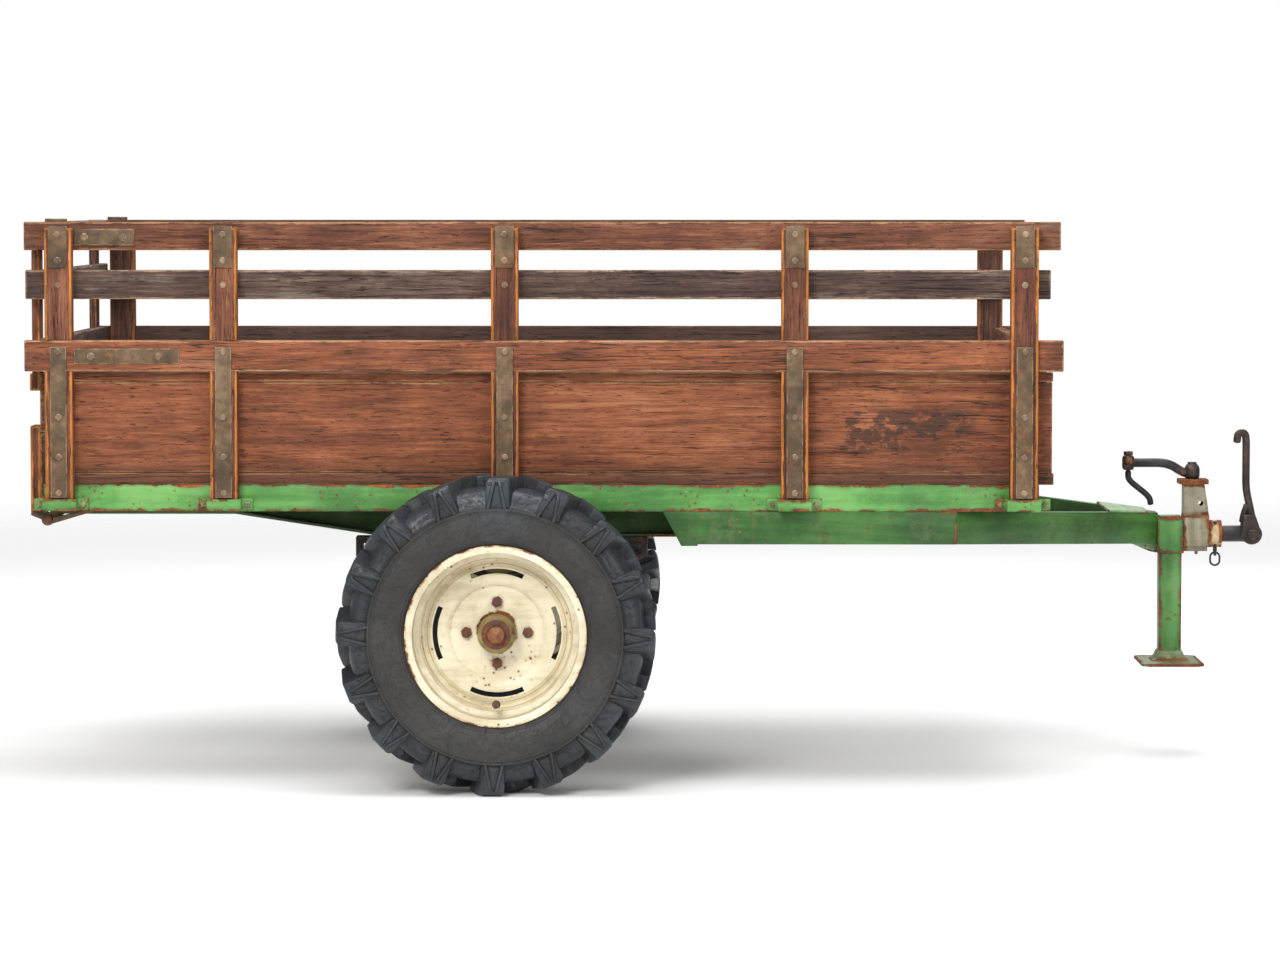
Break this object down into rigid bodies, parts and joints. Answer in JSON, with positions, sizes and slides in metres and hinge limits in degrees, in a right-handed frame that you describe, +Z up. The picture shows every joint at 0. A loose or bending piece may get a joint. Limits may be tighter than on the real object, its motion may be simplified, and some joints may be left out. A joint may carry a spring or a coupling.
{
  "type": "two-wheeled farm trailer",
  "caption": "Single-axle wooden farm trailer with slatted lift-out sides, drop tailgate, lugged tyres, green steel frame and a crank hitch head.",
  "frame": {"origin": "middle of the trailer's bounding box, on the ground", "axes": "+X along the drawbar to the hitch, +Z up, +Y to the left side of the trailer; the view that shows the right side looks along +Y"},
  "size_m": [3.1, 1.72, 1.384],
  "materials": {
    "green_paint": "worn bright green paint with rust at the edges",
    "dark_green_paint": "dark green paint, dirty",
    "cream_paint": "cream paint with rust specks and runs",
    "olive_paint": "olive green paint, greasy",
    "board_wood": "weathered red-brown planks with knots and bare streaks",
    "rail_wood": "weathered grey-brown planks",
    "iron_strap": "brown oxidised flat iron",
    "bolt_iron": "rusty bolt heads rubbed bare",
    "dark_steel": "dark oiled steel with rust",
    "tyre_rubber": "dusty black rubber"
  },
  "bodies": {
    "chassis": {"bed_rail_right": "green_paint", "bed_rail_left": "green_paint", "crossmembers": "dark_green_paint", "main_beams": "dark_green_paint", "floor_planks": "board_wood", "headboard": "board_wood", "drawbar_right": "green_paint", "drawbar_left": "green_paint", "drawbar_plates": "green_paint", "axle_hangers": "dark_steel", "axle_beam": "dark_steel", "spindles": "dark_steel", "stake_pockets": "green_paint", "pocket_bolts": "bolt_iron", "support_leg": "green_paint", "leg_foot": "green_paint", "leg_sleeve": "green_paint", "hitch_block": "cream_paint", "hitch_mast": "cream_paint", "hitch_collar": "cream_paint", "grease_nipple": "dark_steel", "tailgate_brackets": "dark_steel", "tailgate_pins": "bolt_iron"},
    "wheel_right": {"tyre_right": "tyre_rubber", "rim_right": "cream_paint", "hub_right": "olive_paint", "wheel_bolts_right": "bolt_iron", "bearings_right": "dark_steel"},
    "wheel_left": {"tyre_left": "tyre_rubber", "rim_left": "cream_paint", "hub_left": "olive_paint", "wheel_bolts_left": "bolt_iron", "bearings_left": "dark_steel"},
    "side_rack_right": {"posts_right": "board_wood", "top_rail_right": "board_wood", "middle_rail_right": "rail_wood", "lower_rail_right": "board_wood", "side_boards_right": "board_wood", "side_irons_right": "iron_strap", "side_bolts_right": "bolt_iron"},
    "side_rack_left": {"posts_left": "board_wood", "top_rail_left": "board_wood", "middle_rail_left": "rail_wood", "lower_rail_left": "board_wood", "side_boards_left": "board_wood", "side_irons_left": "iron_strap", "side_bolts_left": "bolt_iron"},
    "tailgate": {"tailgate_boards": "board_wood", "tailgate_slats": "rail_wood", "tailgate_posts": "rail_wood", "tailgate_hinges": "iron_strap"},
    "crank": {"crank": "dark_steel", "screw_spindle": "dark_steel"},
    "grip": {"grip_rod": "dark_steel", "grip_nut": "dark_steel"},
    "draw_shaft": {"draw_shaft": "dark_steel", "lever_bolt": "bolt_iron"},
    "hitch_lever": {"hitch_lever": "dark_steel"},
    "lock_pin": {"lock_pin": "dark_steel"},
    "pull_ring": {"pull_ring": "dark_steel"}
  },
  "joints": [
    {"name": "wheel_spin_right", "type": "hinge", "parent": "chassis", "child": "wheel_right", "pos_m": [-0.393, -0.77, 0.385], "axis": [0, 1, 0], "continuous": true},
    {"name": "wheel_spin_left", "type": "hinge", "parent": "chassis", "child": "wheel_left", "pos_m": [-0.393, 0.77, 0.385], "axis": [0, 1, 0], "continuous": true},
    {"name": "rack_lift_right", "type": "slide", "parent": "chassis", "child": "side_rack_right", "axis": [0, 0, 1], "range_m": [0, 0.12]},
    {"name": "rack_lift_left", "type": "slide", "parent": "chassis", "child": "side_rack_left", "axis": [0, 0, 1], "range_m": [0, 0.12]},
    {"name": "tailgate_swing", "type": "hinge", "parent": "chassis", "child": "tailgate", "pos_m": [-1.504, 0, 0.646], "axis": [0, -1, 0], "range_deg": [0, 110]},
    {"name": "crank_turn", "type": "hinge", "parent": "chassis", "child": "crank", "pos_m": [1.3635, 0, 0.7], "axis": [0, 0, 1], "range_deg": [-140, 140]},
    {"name": "grip_swing", "type": "hinge", "parent": "crank", "child": "grip", "pos_m": [1.1995, 0, 0.75], "axis": [0, 0, 1], "range_deg": [-90, 90]},
    {"name": "draw_shaft_roll", "type": "hinge", "parent": "chassis", "child": "draw_shaft", "pos_m": [1.407, 0, 0.573], "axis": [1, 0, 0], "continuous": true},
    {"name": "lever_swing", "type": "hinge", "parent": "draw_shaft", "child": "hitch_lever", "pos_m": [1.515, 0, 0.573], "axis": [0, 1, 0], "range_deg": [0, 90]},
    {"name": "lock_pin_pull", "type": "slide", "parent": "chassis", "child": "lock_pin", "axis": [0, 0, -1], "range_m": [0, 0.05]},
    {"name": "ring_swing", "type": "hinge", "parent": "lock_pin", "child": "pull_ring", "pos_m": [1.4215, -0.0193, 0.526], "axis": [1, 0, 0], "range_deg": [-75, 75]}
  ]
}
